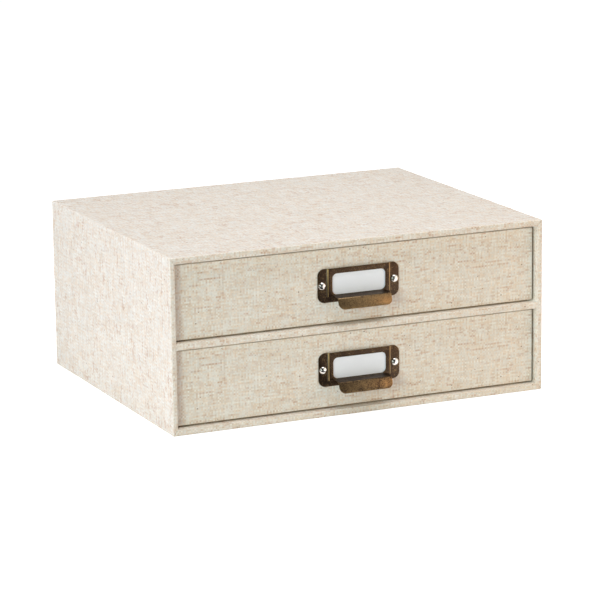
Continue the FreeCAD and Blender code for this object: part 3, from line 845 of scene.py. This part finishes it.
def make_card():
    """Smooth white card with a little tooth."""
    card = Finish("label_card")
    tooth = card.patches(card.place(), 1.4, detail=4.0, roughness=0.6)
    colour = card.blend(CARD_DARK, CARD_PALE, tooth)
    return card.surface({"Specular IOR Level": 0.4}, {"Base Color": colour, "Roughness": 0.5 + tooth * 0.2},
                        tooth, bump=0.12, distance=0.0001)


def dress_nodes(finish, ending):
    """Gives a finish to the CAD nodes whose names have an ending."""
    dress(finish, *[node for name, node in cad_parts.items() if name.endswith(ending)])


dress_nodes(make_board(), "_board")
dress_nodes(make_paper("lining_paper", LINING_DARK, LINING_PALE), "_lining")
# The kraft panels: paper, and painted shade for the gaps under the drawers.
dress_nodes(make_paper("kraft_paper_and_gap_shade", KRAFT_GAP_SHADE_DARK, KRAFT_GAP_SHADE_PALE), "_paper")
dress_nodes(make_card(), "_label_card")

# %% [markdown]
# ## Antique brass and nickel
# The brass is blackened with acid and then rubbed, so the flats are dark brown, mottled with gold, and
# edges and bends are rubbed bright; the pocket's shoulders also get a painted highlight, and the roots of
# the bends a painted grey highlight. A Bevel node tells edges from flats: where its rounded normal leaves
# the true one, an edge is near. The lips are painted lighter than the plates, a painted highlight, the upper
# one most. The nickel is plated and polished.

# %% Metal finishes
BRASS_DARK, BRASS_GOLD = (0.046, 0.030, 0.020), (0.222, 0.147, 0.070)
# The root colour is a painted grey highlight at the roots of the pocket's bends; the rubbed colour is rubbed
# brass on edges and also a painted highlight on the pocket's shoulders.
BRASS_ROOT_HIGHLIGHT, BRASS_RUBBED_AND_HIGHLIGHT = (0.22, 0.18, 0.13), (0.52, 0.36, 0.16)
NICKEL_DARK, NICKEL_PALE = (0.70, 0.67, 0.62), (0.80, 0.78, 0.75)
# The radius is in metres. Heights are counted from a place so far below a holder's middle, in millimetres.
EDGE_RADIUS, BELOW = 0.0004, 30.0


def make_brass():
    """Blackened brass, rubbed bright at edges, with painted highlights at the pocket's bends and on the lips,
    where steps in millimetres from bends and faces say so.
    """
    brass = Finish("antique_brass")
    place = brass.place()
    blotch = brass.patches(place, 0.22, detail=3.0, roughness=0.6)
    speck = brass.patches(place, 1.2, detail=3.0, roughness=0.7)
    rounded = brass.node("Bevel", {"samples": 6}, {"Radius": EDGE_RADIUS})
    flat = brass.node("NewGeometry", {}, {}, "Normal")
    likeness = brass.node("VectorMath", {"operation": "DOT_PRODUCT"}, {0: rounded, 1: flat}, "Value")
    edge = brass.step(1.0 - likeness, 0.02, 0.15)
    sides = brass.maths("ABSOLUTE", brass.part(place, "X"))
    forward, upward = brass.part(place, "Y"), brass.part(place, "Z")
    level = brass.maths("MODULO", upward - (BENCH_HEIGHT - BELOW), LEVEL_RISE) - BELOW
    pocket = brass.step(level, POCKET_FACE_LOW - 0.3, POCKET_FACE_LOW + 0.2)
    # Painted highlight: the lip, beyond 10.5 mm in front of the drawer, is painted lighter.
    lip_highlight = brass.step(forward, DRAWER_FRONT - 10.5, DRAWER_FRONT - 13.0)
    # Rubbed wear and a painted highlight: a bright line along each convex shoulder of the pocket.
    shoulder_wear_and_highlight = brass.step(brass.maths("ABSOLUTE", sides - (POCKET_HALF + 0.05)), 0.50, 0.15) \
        * brass.step(forward, DRAWER_FRONT - 1.3, DRAWER_FRONT - 1.7) \
        * brass.step(forward, DRAWER_FRONT - 2.6, DRAWER_FRONT - 2.2) * pocket
    # Painted highlight: a grey line along the root of each side of the pocket.
    root_highlight = brass.step(brass.maths("ABSOLUTE", sides - (POCKET_ROOT + 0.1)), 0.35, 0.1) \
        * brass.step(forward, DRAWER_FRONT - 1.4, DRAWER_FRONT - 1.0) * pocket
    # Painted highlight: the upper holder's lip is painted lighter than the lower one's.
    high = brass.step(upward, 60.0, 80.0)
    # The random gold mottle, plus the painted highlight on the lips.
    gold_and_lip_highlight = brass.step(speck + blotch * 0.4 + lip_highlight * (high * 0.08 + 0.16), 0.69, 1.03)
    colour = brass.blend(BRASS_DARK, BRASS_GOLD, gold_and_lip_highlight)
    colour = brass.blend(colour, BRASS_ROOT_HIGHLIGHT, root_highlight * 0.6)
    # Edges are rubbed bright; the shoulders get rubbed wear and a painted highlight.
    colour = brass.blend(colour, BRASS_RUBBED_AND_HIGHLIGHT, brass.maths("MAXIMUM", edge * 0.5, shoulder_wear_and_highlight * 0.8))
    varying = {"Base Color": colour, "Roughness": 0.42 - gold_and_lip_highlight * 0.06 - edge * 0.1}
    return brass.surface({"Metallic": 1.0}, varying, speck, bump=0.1, distance=0.0001)


def make_nickel():
    """Polished plating, a little smeared."""
    nickel = Finish("nickel")
    smear = nickel.patches(nickel.place(), 0.6, detail=3.0)
    colour = nickel.blend(NICKEL_DARK, NICKEL_PALE, smear)
    varying = {"Base Color": colour, "Roughness": 0.13 + smear * 0.08}
    return nickel.surface({"Metallic": 1.0}, varying, smear, bump=0.03, distance=0.0001)


dress(make_brass(), plate, upper_plate)
dress(make_nickel(), pins, upper_pins)

# %% [markdown]
# ## Floor, light and camera
# The photograph is a cut-out on white under soft daylight from the left. The floor is a plain white sheet.
# A world of strength 1 is white for the camera and for reflections, and weaker as light, so that the lamps
# can shape the box. Polished metal shows all that is round it, so a black flag at the left and a black mat
# on the floor, which only reflections see, darken the left half of the pins. The camera stands to the left
# of the box, a little above, far away, with a long lens.

# %% Floor and world
# The floor, the lamps, the flag and the mat are measured in metres.
FLOOR_SIZE, FLOOR_GLOW, FLOOR_PALE = 8.0, 0.87, (0.86, 0.86, 0.86, 1.0)
WORLD_LIGHT = 0.12
WHITE = (1.0, 1.0, 1.0, 1.0)

lay_down_tools()
bpy.ops.mesh.primitive_plane_add(size=FLOOR_SIZE, location=(0, 0, 0))
floor = settle("floor")


def make_floor():
    """A pale sheet that takes shadows, with a glow that only the camera and reflections see."""
    sheet = Finish("floor")
    matt = sheet.node("BsdfDiffuse", {}, {"Color": FLOOR_PALE})
    glow = sheet.node("Emission", {}, {"Color": WHITE, "Strength": sheet.seen() * FLOOR_GLOW})
    both = sheet.node("AddShader", {}, {0: matt, 1: glow})
    sheet.node("OutputMaterial", {}, {"Surface": both})
    return sheet.owner


def make_world():
    """A room that is white to the camera and in reflections, and a dim light on surfaces."""
    world = bpy.data.worlds.new("white_room")
    room = Finish("white_room", world)
    strength = room.node("MapRange", {}, {0: room.seen(), 3: WORLD_LIGHT, 4: 1.0})
    background = room.node("Background", {}, {"Color": WHITE, "Strength": strength})
    room.node("OutputWorld", {}, {"Surface": background})
    return world


dress(make_floor(), floor)
bpy.context.scene.world = make_world()

# %% Lamps
MIDDLE = (0.0, -0.05, 0.07)
FRONT_LEFT = (-0.165, -0.11, 0.07)
# For each lamp: bearing, height, distance, size, power in watts, colour, and the place it looks at.
LAMPS = {
    "key": (52, 11, 5.0, 1.73, 116, (0.878, 1.000, 0.919), MIDDLE),
    "fill": (-52, 12, 0.75, 0.50, 1.97, (1.000, 0.600, 0.320), (0.14, -0.13, 0.07)),
    "side": (84, 12, 1.0, 0.50, 4.16, (0.934, 0.829, 1.000), FRONT_LEFT),
    "overhead": (0, 86, 1.3, 0.90, 14.8, (0.976, 0.956, 1.000), MIDDLE),
}


def way_to(bearing, height):
    """The way out from the box. A bearing of 0 is in front and grows to the left. Both in degrees."""
    turn, rise = math.radians(bearing), math.radians(height)
    return Vector((-math.sin(turn) * math.cos(rise), -math.cos(turn) * math.cos(rise), math.sin(rise)))


def hang_lamp(name, bearing, height, distance, size, power, colour, aim):
    """A square softbox that looks at the box."""
    way = way_to(bearing, height)
    lamp = bpy.data.lights.new(name, "AREA")
    lamp.shape, lamp.size, lamp.energy, lamp.color = "SQUARE", size, power, colour
    stand = bpy.data.objects.new(name, lamp)
    turned = (-way).to_track_quat("-Z", "Y").to_matrix().to_4x4()
    stand.matrix_world = Matrix.Translation(Vector(aim) + way * distance) @ turned
    stand.visible_camera = False
    bpy.context.scene.collection.objects.link(stand)


for lamp_name, setting in LAMPS.items():
    hang_lamp(lamp_name, *setting)

# %% Flag and mat
FLAG_BEARING, FLAG_HEIGHT, FLAG_DISTANCE, FLAG_SIZE = 52.0, 15.0, 0.8, 2.4
MAT_MIDDLE, MAT_WIDTH, MAT_LENGTH = (-0.585, -0.73, 0.002), 1.23, 1.14


def set_up_black(name, place, turned, width, length):
    """A black sheet that only reflections see."""
    lay_down_tools()
    bpy.ops.mesh.primitive_plane_add(size=1, location=place, rotation=turned)
    bpy.context.object.scale = (width, length, 1.0)
    sheet = settle(name)
    sheet.visible_camera = sheet.visible_diffuse = sheet.visible_shadow = sheet.visible_transmission = False
    return sheet


way = way_to(FLAG_BEARING, FLAG_HEIGHT)
flag = set_up_black("flag", way * FLAG_DISTANCE, way.to_track_quat("Z", "Y").to_euler(), FLAG_SIZE, FLAG_SIZE)
mat = set_up_black("mat", MAT_MIDDLE, (0, 0, 0), MAT_WIDTH, MAT_LENGTH)
black = Finish("black_velvet").surface({"Base Color": (0.02, 0.02, 0.02, 1.0), "Roughness": 0.9}, {})
dress(black, flag, mat)

# %% Camera
LENS, SENSOR = 186.954, 36.0
CAMERA_PLACE = (-1045.8, -2335.9, 651.6)
CAMERA_RIGHT = (0.91051, -0.41329, -0.01272)
CAMERA_UP = (0.10346, 0.19788, 0.97475)
CAMERA_FORWARD = (0.40033, 0.88884, -0.22293)

camera_data = bpy.data.cameras.new("camera")
camera_data.lens, camera_data.sensor_width = LENS, SENSOR
camera_data.clip_start, camera_data.clip_end = 0.1, 30.0
camera = bpy.data.objects.new("camera", camera_data)
bpy.context.scene.collection.objects.link(camera)
turned = Matrix((CAMERA_RIGHT, CAMERA_UP, [-part for part in CAMERA_FORWARD])).transposed().to_4x4()
camera.matrix_world = Matrix.Translation(Vector(CAMERA_PLACE) * MM) @ turned
bpy.context.scene.camera = camera
bpy.context.scene.view_settings.view_transform = "Standard"
